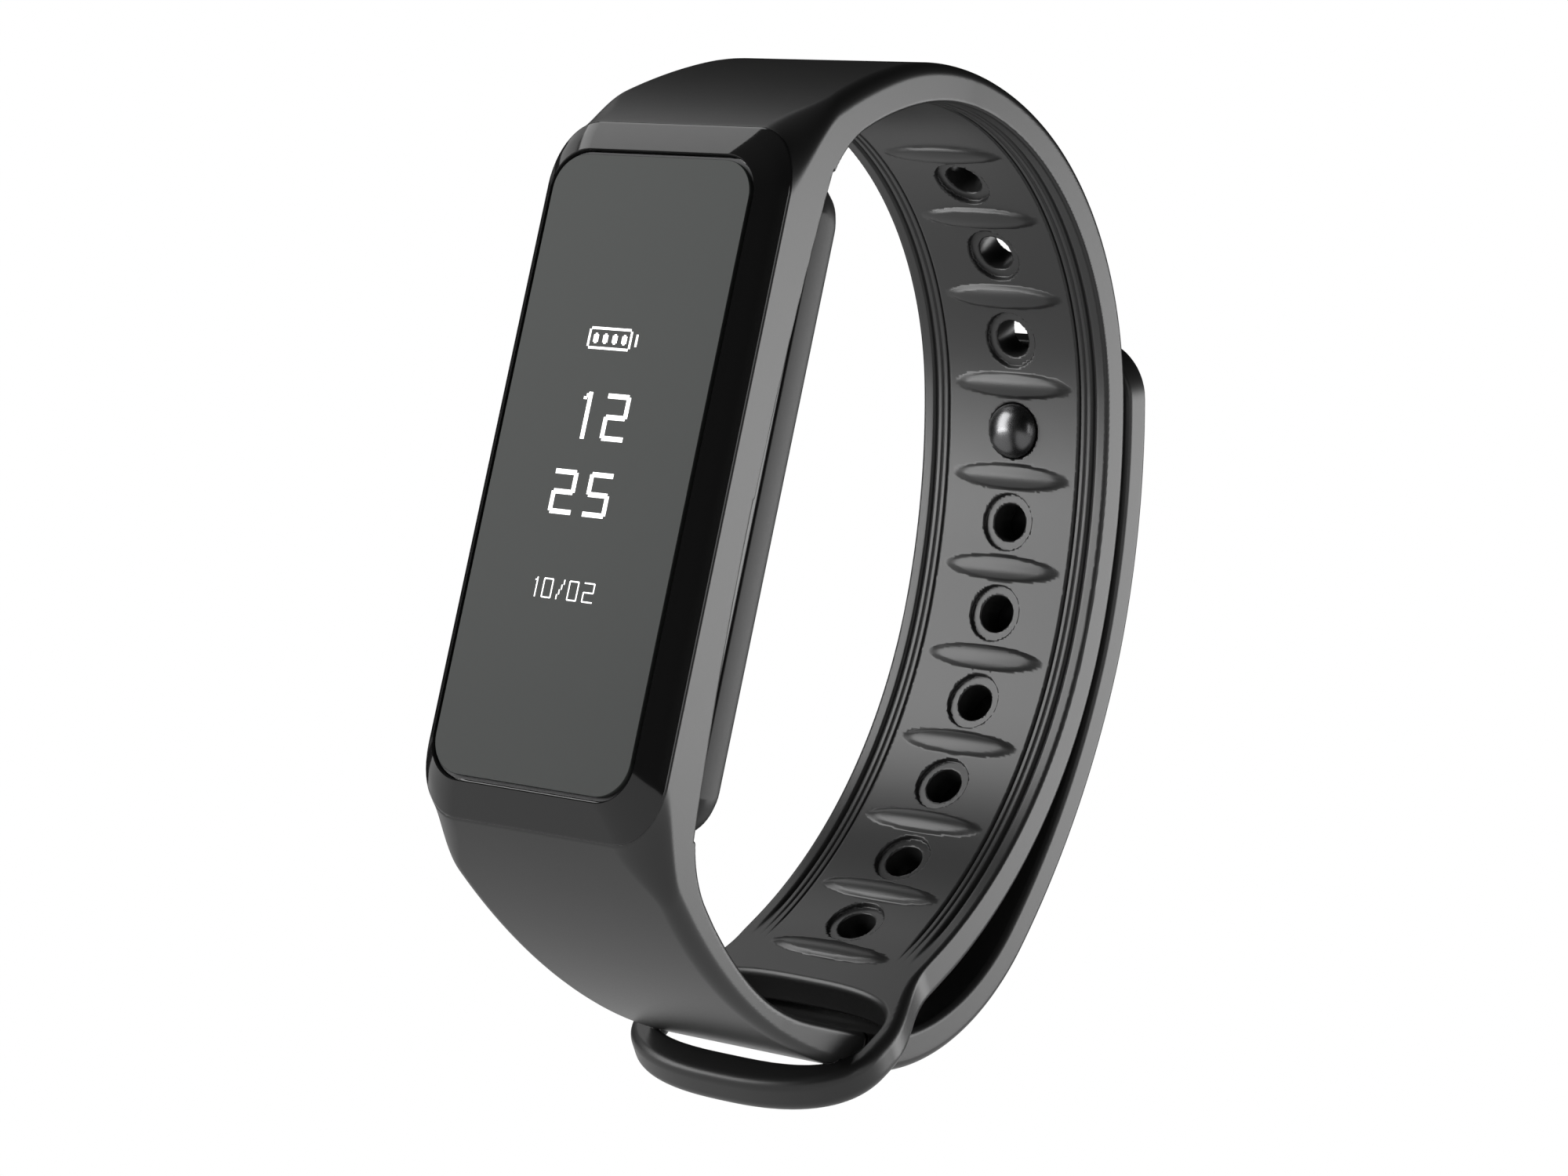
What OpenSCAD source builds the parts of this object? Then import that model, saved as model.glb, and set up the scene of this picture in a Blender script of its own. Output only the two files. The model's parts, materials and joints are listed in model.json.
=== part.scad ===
// Fitness tracker on a one-piece silicone wristband, closed round a wrist.
// X runs across the strap, the display faces -Y, and Z runs along the display.
// The origin is the centre of the wrist opening.

/* [Band] */
// Distance from the origin forward to the display's face
display_reach = 31; // [29:0.5:34]
// Thickness of the silicone strap
strap_t = 2.8; // [2.4:0.1:3]
// Half width of the strap where the holes are
strap_half_w = 8.6; // [8:0.1:9]
// Half width of the band beside the tracker
pocket_half_w = 10.55; // [10.3:0.05:11]
// Radius of the bend between tracker and strap
root_bend_r = 9; // [8:0.5:10]
// Radius of the strap over the top of the wrist
arch_r = 24.5; // [24:0.5:25]
// Radius of the strap where the stud fastens
stud_zone_r = 50; // [48:1:52]
// Radius of the strap under the wrist
under_r = 36; // [35.5:0.5:36.5]
// Radius of the lower strap under the tracker
lower_r = 26; // [25:0.5:27]

/* [Holes and ribs] */
// Number of raised ribs on the wrist side
rib_count = 11; // [9:1:11]
// Distance from one hole to the next
hole_pitch = 7.15; // [7:0.05:7.2]
// Radius of each hole
hole_r = 1.45; // [1.4:0.05:1.6]
// Radius of the shallow recess round each hole
recess_r = 2.2; // [2.2:0.05:2.4]
// Depth of that recess
recess_depth = 0.3; // [0.2:0.05:0.4]
// Which hole the stud is in, counted from the top
stud_hole = 4; // [4:1:5]
// Half length of a rib across the strap
rib_half_l = 5.35; // [4.5:0.05:6]
// Half thickness of a rib along the strap
rib_half_t = 1.1; // [0.9:0.05:1.2]
// Height of a rib
rib_h = 0.45; // [0.3:0.05:0.6]

/* [Loop] */
// Half width of the loop at the strap's end
loop_half_w = 10.9; // [10.8:0.1:11.5]
// Half width of the slot in the loop
slot_half_w = 8.9; // [8.9:0.1:9.1]
// Width of the bar that closes the loop
bar_w = 2.8; // [2.4:0.1:3]
// Gap between the two layers of strap
layer_gap = 0.3; // [0.25:0.05:0.4]

/* [Stud] */
// Radius of the stud's ball head
head_r = 2.15; // [2:0.05:2.2]
// Radius of the stud's neck
neck_r = 1.2; // [1:0.05:1.3]
// Radius of the stud's outer cap
cap_r = 3.2; // [2.8:0.1:3.6]

/* [Tracker] */
// Half width of the tracker's front
front_half_w = 10.55; // [10.3:0.05:11]
// Half length of the tracker's front
front_half_l = 24.8; // [24.6:0.1:25]
// Half width of the tracker's body inside the band
body_half_w = 9.2; // [9:0.05:9.2]
// Half length of the tracker's body inside the band
body_half_l = 23.2; // [23:0.05:23.2]
// Depth of the tracker from display to sensor
tracker_t = 10; // [9.8:0.1:10.4]
// Half width of the display lens
lens_half_w = 8.6; // [8.2:0.05:8.8]
// Half length of the display lens
lens_half_l = 22; // [21.5:0.1:22.2]
// Corner radius of the display lens
lens_corner = 2.6; // [2:0.1:3.2]
// Wall of the tracker's two shells
wall = 1.1; // [1:0.1:1.2]

/* [Hidden] */
$fn = 48;

fit_gap = 0.1;
face_y = -display_reach;
seat_depth = 1.8;
outline_step = 1.3;
rib_points = 28;

// A strap path is a start [y, z, heading] and runs of [radius, turn], or [length, 0] where straight.
holed_start = [face_y + 7, 23.3, 72];
holed_path = [
    [root_bend_r, -33],
    [arch_r, -108],
    [stud_zone_r, -19],
    [under_r, -49],
    [17.6, 0]
];
loop_s = path_length(holed_path, 4);
loop_origin = at(holed_start, holed_path, loop_s);
loop_reach = 17.6;
slot_start = 5.6;
slot_end = loop_reach - bar_w;
bend_split_s = path_length(holed_path, 1);
first_rib_s = path_length(holed_path, 1) + arch_r * PI / 180 * 56;
upper_end_s = first_rib_s - hole_pitch / 2;
holed_end_s = loop_s + 2.9;

// The tail lies outside the holed strap, so its last runs share that strap's centres.
layer = strap_t + layer_gap;
leave_turn = 5;
join_s = path_length(holed_path, 3) + under_r * PI / 180 * leave_turn;
join_point = at(holed_start, holed_path, join_s);
join_heading = join_point[2] + 180;
join_pos = beside(join_point, layer);
rise_r = 55;
rise_from = 64;
rise_turn = join_heading - rise_from;
rise_pos = [
    join_pos[0] - rise_r * (sin(join_heading) - sin(rise_from)),
    join_pos[1] - rise_r * (cos(rise_from) - cos(join_heading))
];
lower_start = [face_y + 7, -23.3, -72];
lower_flat = at(lower_start, [[root_bend_r, 33], [lower_r, 39]], 1000);
sweep_r = (rise_pos[1] - lower_flat[1]) / (1 - cos(rise_from));
flat_l = rise_pos[0] - sweep_r * sin(rise_from) - lower_flat[0];
lower_path = [
    [root_bend_r, 33],
    [lower_r, 39],
    [flat_l, 0],
    [sweep_r, rise_from],
    [rise_r, rise_turn],
    [under_r + layer, leave_turn],
    [stud_zone_r + layer, 19],
    [arch_r + layer, 12]
];
stud_s = first_rib_s + (stud_hole - 0.5) * hole_pitch;
stud_to_joint = path_length(holed_path, 3) - stud_s;
tail_stud_s = path_length(lower_path, 6) + stud_to_joint * (stud_zone_r + layer) / stud_zone_r;
tip_reach = 6.8;
tip_corner = 4.2;
hinge_spacing = 12;
lip_r = 4.2;

motor_y = face_y + 6.55;
motor_z = -18.4;
motor_r = 2;
motor_left = -7.2;
can_l = 8;
shaft_r = 0.4;

function run_length(run) = run[1] == 0 ? run[0] : run[0] * abs(run[1]) * PI / 180;
function path_length(path, runs) = runs == 0 ? 0 : run_length(path[runs - 1]) + path_length(path, runs - 1);
function advance(p, run, s) =
    run[1] == 0 ? [p[0] + s * cos(p[2]), p[1] + s * sin(p[2]), p[2]] :
    let (turn = sign(run[1]), h = p[2] + turn * s / run[0] * 180 / PI)
    [p[0] + turn * run[0] * (sin(h) - sin(p[2])), p[1] - turn * run[0] * (cos(h) - cos(p[2])), h];
function at(p, path, s, i = 0) =
    let (run = path[i], l = run_length(run))
    s <= l || i == len(path) - 1 ? advance(p, run, min(s, l)) : at(advance(p, run, l), path, s - l, i + 1);
// A point d to the left of a place on a path.
function beside(p, d) = [p[0] - d * sin(p[2]), p[1] + d * cos(p[2])];
function smooth(t) = let (c = max(0, min(1, t))) c * c * (3 - 2 * c);
function arc_points(x, y, r, from, to, n) = [for (i = [0:n]) let (a = from + (to - from) * i / n) [x + r * cos(a), y + r * sin(a)]];
function rounded(hw, hl, r, n = 5) = concat(
    arc_points(hw - r, hl - r, r, 0, 90, n), arc_points(r - hw, hl - r, r, 90, 180, n),
    arc_points(r - hw, r - hl, r, 180, 270, n), arc_points(hw - r, r - hl, r, 270, 360, n));

// Extrudes an outline drawn in Y and Z across the band.
module across(w) {
    rotate([90, 0, 90]) linear_extrude(w, center = true) children();
}

// Extrudes an outline drawn in X and Z backwards from depth d behind the display face.
module behind(d, t) {
    translate([0, face_y + d + t, 0]) rotate([90, 0, 0]) linear_extrude(t) children();
}

// Stands its children on a strap path: +Y along the outward normal, X across the band.
module on_path(start, path, s, flip = 0) {
    p = at(start, path, s);
    translate([0, p[0], p[1]]) rotate([p[2] + 90 + flip, 0, 0]) children();
}

// Side view of a stretch of strap, t thick to the left of its path.
module strap_side(start, path, from, to, t) {
    n = ceil((to - from) / outline_step);
    stations = [for (i = [0:n]) at(start, path, from + (to - from) * i / n)];
    polygon(concat([for (p = stations) [p[0], p[1]]], [for (i = [n:-1:0]) beside(stations[i], t)]));
}

// Plan that narrows from the tracker's width to the strap's, drawn in X and Y.
module taper_plan() {
    from = face_y + seat_depth;
    length = 21;
    steps = 12;
    ys = [for (i = [0:steps]) from + length * i / steps];
    function half(y) = strap_half_w + (pocket_half_w - strap_half_w) * pow(max(0, 1 - (y - from) / length), 1.5);
    polygon(concat([[pocket_half_w, face_y]], [for (y = ys) [half(y), y]], [[strap_half_w, 40], [-strap_half_w, 40]],
        [for (i = [steps:-1:0]) [-half(ys[i]), ys[i]]], [[-pocket_half_w, face_y]]));
}

// Side view of the room inside the lower strap's outer arc.
module above_lower_arc() {
    reach = 1;
    r = 45.95;
    translate([reach, r - 36.1]) circle(r, $fn = 240);
    translate([reach, -60]) square(120);
}

module tapered() {
    intersection() {
        across(2 * pocket_half_w) children();
        translate([0, 0, -60]) linear_extrude(120) taper_plan();
    }
}

module hole_at(k) {
    on_path(holed_start, holed_path, first_rib_s + (k - 0.5) * hole_pitch) {
        translate([0, -1, 0]) rotate([-90, 0, 0]) cylinder(h = strap_t + 2, r = hole_r);
        translate([0, -1, 0]) rotate([-90, 0, 0]) cylinder(h = 1 + recess_depth, r = recess_r);
    }
}

module rib_at(k) {
    ellipse = [for (i = [0:rib_points - 1]) let (a = 360 * i / rib_points) [rib_half_l * cos(a), rib_half_t * sin(a)]];
    on_path(holed_start, holed_path, first_rib_s + (k - 1) * hole_pitch)
        translate([0, 0.3, 0]) rotate([90, 0, 0]) linear_extrude(rib_h + 0.3) polygon(ellipse);
}

// The holed stretch of strap, with its ribs and every hole.
module holed_whole() {
    difference() {
        union() {
            across(2 * strap_half_w) strap_side(holed_start, holed_path, upper_end_s, holed_end_s, strap_t);
            for (k = [1:rib_count]) rib_at(k);
        }
        for (k = [1:rib_count - 1]) hole_at(k);
    }
}

module lip_disc() {
    on_path(holed_start, holed_path, stud_s)
        translate([0, -2, 0]) rotate([-90, 0, 0]) cylinder(h = strap_t + 4, r = lip_r);
}

module band_pocket() {
    top_cut = at(holed_start, holed_path, bend_split_s);
    outer_cut = beside(top_cut, strap_t);
    front = face_y + seat_depth + fit_gap;
    steps = 4;
    inner = [for (i = [0:steps]) let (p = at(holed_start, holed_path, bend_split_s * (1 - i / steps))) [p[0], p[1]]];
    edge_z = 21;
    arch = [for (i = [0:12]) let (z = edge_z * (1 - i / 6)) [face_y + 5.5 + 1.4 * pow(z / edge_z, 2), z]];
    upper = concat([[front, front_half_l], outer_cut], inner);
    lower = [for (i = [len(upper) - 1:-1:0]) [upper[i][0], -upper[i][1]]];
    color("#2b2b2c") difference() {
        union() {
            tapered() intersection() {
                polygon(concat(upper, arch, lower));
                above_lower_arc();
            }
            across(2 * pocket_half_w) intersection() {
                polygon(concat(upper, arch, lower));
                translate([face_y, -edge_z]) square([20, 2 * edge_z]);
            }
        }
        behind(-1, tracker_t + 5) polygon(rounded(body_half_w + fit_gap, body_half_l + fit_gap, 3));
    }
}

module strap_upper() {
    color("#2b2b2c") tapered() strap_side(holed_start, holed_path, bend_split_s, upper_end_s, strap_t);
}

module strap_holed() {
    color("#2b2b2c") difference() {
        holed_whole();
        lip_disc();
    }
}

module stud_hole_lip() {
    color("#333335") intersection() {
        holed_whole();
        lip_disc();
    }
}

// The loop's outline, x across and u along its plate, and its slot.
module loop_plan() {
    us = [for (i = [0:28]) loop_reach * i / 28];
    widest = 12;
    power = 2.6;
    function half(u) = u < widest
        ? strap_half_w + (loop_half_w - strap_half_w) * smooth((u - 1.8) / 8.5)
        : loop_half_w * pow(max(0, 1 - pow((u - widest) / (loop_reach - widest), power)), 1 / power);
    polygon(concat([for (u = us) [half(u), u]], [for (i = [27:-1:0]) [-half(us[i]), us[i]]]));
}

module slot_plan() {
    wide = 2.4;
    tight = 0.6;
    polygon(concat(
        arc_points(slot_half_w - wide, slot_end - wide, wide, 0, 90, 6),
        arc_points(wide - slot_half_w, slot_end - wide, wide, 90, 180, 6),
        arc_points(tight - slot_half_w, slot_start + tight, tight, 180, 270, 4),
        arc_points(slot_half_w - tight, slot_start + tight, tight, 270, 360, 4)));
}

// Extrudes a plan through the loop's plate, along its thickness.
module through_loop(depth) {
    translate([0, loop_origin[0], loop_origin[1]]) rotate([loop_origin[2], 0, 0])
        linear_extrude(depth, center = true) children();
}

module strap_loop() {
    color("#2b2b2c") difference() {
        intersection() {
            across(2 * loop_half_w) strap_side(holed_start, holed_path, holed_end_s, loop_s + loop_reach, strap_t);
            through_loop(30) loop_plan();
        }
        through_loop(30) slot_plan();
    }
}

module strap_lower() {
    color("#2b2b2c") tapered() intersection() {
        strap_side(lower_start, lower_path, bend_split_s, tail_stud_s - 3 * hinge_spacing, -strap_t);
        above_lower_arc();
    }
}

module tail_piece(from, to) {
    across(2 * strap_half_w) strap_side(lower_start, lower_path, from, to, -strap_t);
}

module tail_lower() {
    color("#2b2b2c") tail_piece(tail_stud_s - 3 * hinge_spacing, tail_stud_s - 2 * hinge_spacing);
}

module tail_middle() {
    color("#2b2b2c") tail_piece(tail_stud_s - 2 * hinge_spacing, tail_stud_s - hinge_spacing);
}

// The tip's corners are rounded in plan.
module tail_tip() {
    length = 36;
    color("#2b2b2c") difference() {
        intersection() {
            tail_piece(tail_stud_s - hinge_spacing, tail_stud_s + tip_reach + 2);
            on_path(holed_start, holed_path, stud_s) translate([0, 15, tip_reach - length]) rotate([90, 0, 0])
                linear_extrude(20) polygon(rounded(strap_half_w, length, tip_corner));
        }
        on_path(holed_start, holed_path, stud_s) {
            translate([0, 2, 0]) rotate([-90, 0, 0]) cylinder(h = 6, r = neck_r + 0.02);
            translate([0, layer + 2, 0]) rotate([-90, 0, 0]) cylinder(h = 3, r = cap_r + 0.02);
        }
    }
}

module stud_pin() {
    color("#5b5c60") on_path(holed_start, holed_path, stud_s) rotate([-90, 0, 0]) {
        rotate_extrude() polygon(concat(
            [for (i = [0:10]) let (a = 90 - 9 * i) [head_r * cos(a), 0.25 - 1.7 * sin(a)]],
            [[neck_r, 0.25], [neck_r, layer + 2], [0.7, layer + 2], [0.7, layer + 2.6], [0, layer + 2.6]]));
    }
}

module stud_cap() {
    top = layer + 3.1;
    color("#5b5c60") on_path(holed_start, holed_path, stud_s) rotate([-90, 0, 0])
        rotate_extrude() polygon([[0.72, layer + 2], [cap_r, layer + 2], [cap_r, top - 0.4], [cap_r - 0.4, top - 0.1],
            [0, top], [0, layer + 2.62], [0.72, layer + 2.62]]);
}

module front_housing() {
    ledge_y = 0.9;
    color("#0b0b0c") difference() {
        union() {
            hull() {
                behind(0, 0.02) polygon(rounded(front_half_w - 1.6, front_half_l - 1.8, 3.2));
                behind(0.8, 0.02) polygon(rounded(front_half_w - 0.35, front_half_l - 0.4, 3.7));
                behind(seat_depth - 0.3, 0.3) polygon(rounded(front_half_w, front_half_l, 4));
            }
            behind(seat_depth - 0.3, 5.3) polygon(rounded(body_half_w, body_half_l, 2.9));
        }
        behind(-1, 1 + ledge_y) polygon(rounded(lens_half_w + 0.1, lens_half_l + 0.1, lens_corner + 0.1));
        behind(0, 10) polygon(rounded(lens_half_w - 0.9, lens_half_l - 0.9, lens_corner - 0.9));
        behind(2, 10) polygon(rounded(body_half_w - wall, body_half_l - wall, 1.8));
    }
}

module display_lens() {
    color("#525452") behind(0, 0.78) polygon(rounded(lens_half_w, lens_half_l, lens_corner));
}

module lens_adhesive() {
    color("#1c1c1c") difference() {
        behind(0.79, 0.1) polygon(rounded(lens_half_w - 0.05, lens_half_l - 0.05, lens_corner));
        behind(0, 2) polygon(rounded(lens_half_w - 0.85, lens_half_l - 0.85, lens_corner - 0.85));
    }
}

module touch_electrode() {
    color("#b08d3c") translate([0, 0, -18]) behind(0.8, 0.12) polygon(rounded(4, 1.8, 0.6));
}

module oled_panel() {
    color("#101418") behind(0.8, 1.4) polygon(rounded(5.75, 15, 0.4));
}

// The display's flat cable leaves its lower end and folds down to the board.
module oled_flex() {
    color("#a8622a") across(7) polygon([
        [face_y + 1.9, -15.05], [face_y + 1.9, -16.2], [face_y + 3.0, -16.2], [face_y + 3.0, -16.05],
        [face_y + 2.05, -16.05], [face_y + 2.05, -15.05]]);
}

module display_bracket() {
    color("#3a3d40") difference() {
        behind(2.25, 0.7) polygon(rounded(7.9, 21.9, 1.7));
        behind(2, 2) polygon(rounded(4.6, 13.5, 0.5));
        translate([0, 0, -16.1]) behind(2, 2) polygon(rounded(4.6, 1, 0.3));
        for (z = [-20.4, 20.4]) translate([0, 0, z]) behind(2, 2) circle(0.65);
    }
}

module main_board() {
    color("#1f4a2c") difference() {
        behind(3.02, 0.8) polygon(rounded(7.9, 21.9, 1.7));
        for (z = [-20.4, 20.4]) translate([0, 0, z]) behind(2, 3) circle(0.65);
    }
}

// Processor, memory, motion sensor and power chip.
module board_chips() {
    chips = [[-3.6, 16.9, 2.5, 2.5], [3.2, 17.4, 1.6, 1.6], [-5, -12.6, 1.5, 1.5], [5.2, -12.4, 1.2, 1.2]];
    color("#17181a") for (c = chips) translate([c[0], 0, c[1]]) behind(3.83, 0.85) square([2 * c[2], 2 * c[3]], center = true);
}

module radio_antenna() {
    color("#d8d4c8") translate([6.4, 0, 19.3]) behind(3.83, 1) square([1.6, 3.2], center = true);
}

// Two screws hold the board and bracket to the housing.
module board_screws() {
    color("#9a9b9e") for (z = [-20.4, 20.4]) translate([0, face_y, z]) rotate([-90, 0, 0]) {
        translate([0, 0, 2.3]) cylinder(h = 1.54, r = 0.55);
        translate([0, 0, 3.84]) cylinder(h = 0.5, r = 1.05);
    }
}

module battery_cell() {
    color("#b9bcc0") translate([0, 0, 2]) behind(4.75, 3.3) polygon(rounded(6.6, 12, 0.9));
}

module battery_board() {
    color("#23512f") translate([0, 0, -11.2]) behind(5.6, 0.8) square([11, 2], center = true);
}

module battery_pad() {
    color("#dcdcd4") translate([0, 0, 2]) behind(8.07, 0.12) polygon(rounded(5.5, 10, 0.6));
}

// The vibration motor lies across the tracker below the battery.
module motor_tube(r, from, l) {
    translate([motor_left + from, motor_y, motor_z]) rotate([0, 90, 0]) cylinder(h = l, r = r);
}

module motor_can() {
    color("#8f9296") difference() {
        motor_tube(motor_r, 0.6, can_l);
        motor_tube(motor_r - 0.2, 0, can_l + 0.2);
        motor_tube(shaft_r + 0.05, 0, can_l + 2);
    }
}

module motor_cap() {
    color("#d9d3c0") difference() {
        motor_tube(motor_r - 0.21, 0.3, 0.9);
        motor_tube(shaft_r + 0.05, 0, 2);
    }
}

module motor_magnet() {
    color("#4a4b50") difference() {
        motor_tube(1.05, 2.2, 5.9);
        motor_tube(shaft_r + 0.05, 0, 9);
    }
    color("#4a4b50") difference() {
        motor_tube(motor_r - 0.21, 7.4, 0.78);
        motor_tube(shaft_r + 0.05, 0, 10);
    }
}

// The coil is a cup on the shaft that turns round the magnet.
module motor_coil() {
    color("#b5652e") difference() {
        motor_tube(1.6, 1.4, 5.9);
        motor_tube(1.2, 2, 6);
        motor_tube(shaft_r, 1, 2);
    }
}

module motor_shaft() {
    color("#c9cbce") motor_tube(shaft_r, 0.4, 12);
}

module motor_weight() {
    color("#777a80") intersection() {
        difference() {
            motor_tube(1.9, can_l + 1.2, 2.8);
            motor_tube(shaft_r, can_l, 6);
        }
        translate([motor_left, motor_y - 0.7, motor_z - 3]) cube([20, 6, 6]);
    }
}

module back_cover() {
    joint = 7.05;
    floor_t = 1;
    color("#161617") difference() {
        union() {
            behind(joint, tracker_t - joint - 1.2) polygon(rounded(body_half_w, body_half_l, 2.9));
            hull() {
                behind(tracker_t - 1.3, 0.1) polygon(rounded(body_half_w, body_half_l, 2.9, 4));
                behind(tracker_t - 0.4, 0.1) polygon(rounded(body_half_w - 0.5, body_half_l - 0.5, 2.5, 4));
                behind(tracker_t - 0.05, 0.05) polygon(rounded(body_half_w - 1.3, body_half_l - 1.3, 2, 4));
            }
        }
        behind(joint - 1, tracker_t - floor_t - joint + 1) polygon(rounded(body_half_w - wall, body_half_l - wall, 1.8));
        behind(tracker_t - 3, 6) circle(3.8);
        for (x = [-3, 3]) translate([x, 0, -17]) behind(tracker_t - 3, 6) circle(0.95);
    }
}

module seal_ring() {
    color("#0e0e0e") difference() {
        behind(6.83, 0.2) polygon(rounded(body_half_w - 0.15, body_half_l - 0.15, 2.75));
        behind(6, 2) polygon(rounded(body_half_w - wall + 0.1, body_half_l - wall + 0.1, 1.9));
    }
}

module sensor_window() {
    color("#26282b") behind(tracker_t - 0.6, 0.62) circle(3.78);
}

module sensor_board() {
    color("#1f4a2c") behind(8.22, 0.5) polygon(rounded(5, 6, 0.6));
}

module sensor_leds() {
    color("#8fd18f") for (z = [-2.1, 2.1]) translate([0, 0, z]) behind(8.74, 0.55) square([1.6, 1], center = true);
}

module photodiode() {
    color("#2f3f5f") behind(8.74, 0.5) square([1.8, 1.6], center = true);
}

// A dark wall keeps the sensor's own light from its photodiode.
module light_barrier() {
    color("#0d0d0d") difference() {
        behind(8.74, 0.64) circle(3.6);
        behind(8, 2) square([2.4, 2.1], center = true);
        for (z = [-2.15, 2.15]) translate([0, 0, z]) behind(8, 2) square([2, 1.3], center = true);
    }
}

module charge_contacts() {
    color("#caa64a") for (x = [-3, 3]) translate([x, face_y, -17]) rotate([-90, 0, 0]) {
        translate([0, 0, tracker_t - 1]) cylinder(h = 1, r = 0.93);
        translate([0, 0, tracker_t - 1.2]) cylinder(h = 0.2, r = 1.2);
    }
}

// A leaf under each contact carries it to the board's edge.
module contact_springs() {
    near = face_y + 3.85;
    far = face_y + tracker_t - 1.22;
    color("#d8b866") for (x = [-3, 3]) translate([x, 0, 0]) across(1.2) polygon([
        [near, -14.6], [near, -15.9], [near + 0.15, -15.9], [far - 0.15, -15.9], [far - 0.15, -17.5],
        [far, -17.5], [far, -15.75], [near + 0.15, -15.75], [near + 0.15, -14.6]]);
}

band_pocket();
strap_upper();
strap_holed();
stud_hole_lip();
strap_loop();
strap_lower();
tail_lower();
tail_middle();
tail_tip();
stud_pin();
stud_cap();
front_housing();
display_lens();
lens_adhesive();
touch_electrode();
oled_panel();
oled_flex();
display_bracket();
main_board();
board_chips();
radio_antenna();
board_screws();
battery_cell();
battery_board();
battery_pad();
motor_can();
motor_cap();
motor_magnet();
motor_coil();
motor_shaft();
motor_weight();
back_cover();
seal_ring();
sensor_window();
sensor_board();
sensor_leds();
photodiode();
light_barrier();
charge_contacts();
contact_springs();
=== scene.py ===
"""Fitness tracker band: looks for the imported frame. Lengths in the making code are in millimetres."""
import json
import math

import bmesh
import bpy
import numpy as np
from mathutils import Matrix, Vector

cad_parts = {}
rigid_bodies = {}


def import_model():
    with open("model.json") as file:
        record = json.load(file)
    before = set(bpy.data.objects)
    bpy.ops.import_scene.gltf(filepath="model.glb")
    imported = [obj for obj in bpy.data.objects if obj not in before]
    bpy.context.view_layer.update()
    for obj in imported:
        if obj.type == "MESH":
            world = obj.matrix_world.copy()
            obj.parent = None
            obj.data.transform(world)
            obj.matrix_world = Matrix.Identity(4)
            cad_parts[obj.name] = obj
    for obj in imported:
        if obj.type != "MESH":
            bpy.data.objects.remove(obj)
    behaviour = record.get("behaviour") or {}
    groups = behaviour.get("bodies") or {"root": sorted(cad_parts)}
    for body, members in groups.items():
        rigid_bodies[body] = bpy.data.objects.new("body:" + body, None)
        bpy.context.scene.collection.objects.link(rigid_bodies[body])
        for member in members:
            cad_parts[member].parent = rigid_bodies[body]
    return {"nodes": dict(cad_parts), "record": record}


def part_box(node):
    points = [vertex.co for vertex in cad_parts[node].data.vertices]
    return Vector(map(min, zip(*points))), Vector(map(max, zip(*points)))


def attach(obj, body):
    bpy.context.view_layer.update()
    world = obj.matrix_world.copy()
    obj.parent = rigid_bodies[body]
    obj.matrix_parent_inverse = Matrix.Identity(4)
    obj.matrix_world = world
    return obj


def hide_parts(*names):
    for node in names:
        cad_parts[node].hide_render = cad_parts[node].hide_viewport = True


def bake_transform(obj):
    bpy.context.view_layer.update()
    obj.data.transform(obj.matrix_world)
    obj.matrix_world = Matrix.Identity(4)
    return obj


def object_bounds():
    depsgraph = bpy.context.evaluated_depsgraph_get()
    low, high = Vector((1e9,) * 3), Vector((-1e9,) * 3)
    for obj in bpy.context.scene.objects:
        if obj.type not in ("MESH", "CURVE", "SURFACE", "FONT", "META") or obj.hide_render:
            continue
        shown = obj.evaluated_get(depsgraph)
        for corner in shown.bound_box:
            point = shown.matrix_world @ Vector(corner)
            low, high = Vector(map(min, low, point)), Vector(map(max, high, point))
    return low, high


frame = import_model()
cad_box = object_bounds()
MM = 0.001
FACE = round(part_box("display_lens")[0][1] / MM, 3)

# Sizes repeated from the part's source. Y runs from the display's face towards the wrist's far side, and Z upwards.
THICK = 2.8
STRAP_HALF = 8.6
POCKET_HALF = 10.55
SEAM = 1.82
FRONT_Z = 24.72
CREST_DROP = 0.25
ROOT_R = 9.0
ARCH_R = 24.5
UNDER_R = 36.0
STUD_ZONE_R = 50.0
LOWER_R = 26.0
PITCH = 7.15
HOLE_R = 1.45
RECESS_R = 2.2
RECESS = 0.3
RIBS = 11
RIB_HALF = 5.35
RIB_T = 1.05
RIB_H = 0.45
GROOVES = ((6.1, 0.2, 0.07), (6.65, 0.12, 0.08), (7.35, 0.3, 0.15))  # distance from the middle, depth and width
PLATFORM_H = 0.05
OPEN_HALF_X = 9.3
OPEN_HALF_Z = 23.3
OPEN_R = 3.0
POCKET_DEPTH = 5.6
POCKET_BOW = 1.4
ROOT_INSET = 0.5
LOWER_ARC = (1, 9.85, 45.95)  # the lower outer side's centre in Y and Z, and radius
LOOP_HALF = 10.9
LOOP_REACH = 17.6
LOOP_WIDEST = 11.0
SLOT_HALF = 9.3
SLOT = (5.6, 14.8)
LAYER = 3.1
HINGE_GAP = 12.0
TIP_REACH = 6.8
TIP_CORNER = 4.2
# The strap paths' turns, in degrees. Past its straight part the lower strap turns by RISE, then on at radius RISE_R
# until it lies along the holed strap.
ROOT_TURN = 33
LOWER_TURN = 39
RISE = 64
RISE_R = 55.0
UNDER_TURN = 5
ZONE_TURN = 19
# Where the upper strap's wrist side starts in Y and Z, and its heading in degrees.
START = (FACE + 7, OPEN_HALF_Z, 72.0)


# ---------------------------------------------------------------- strap paths

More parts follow.
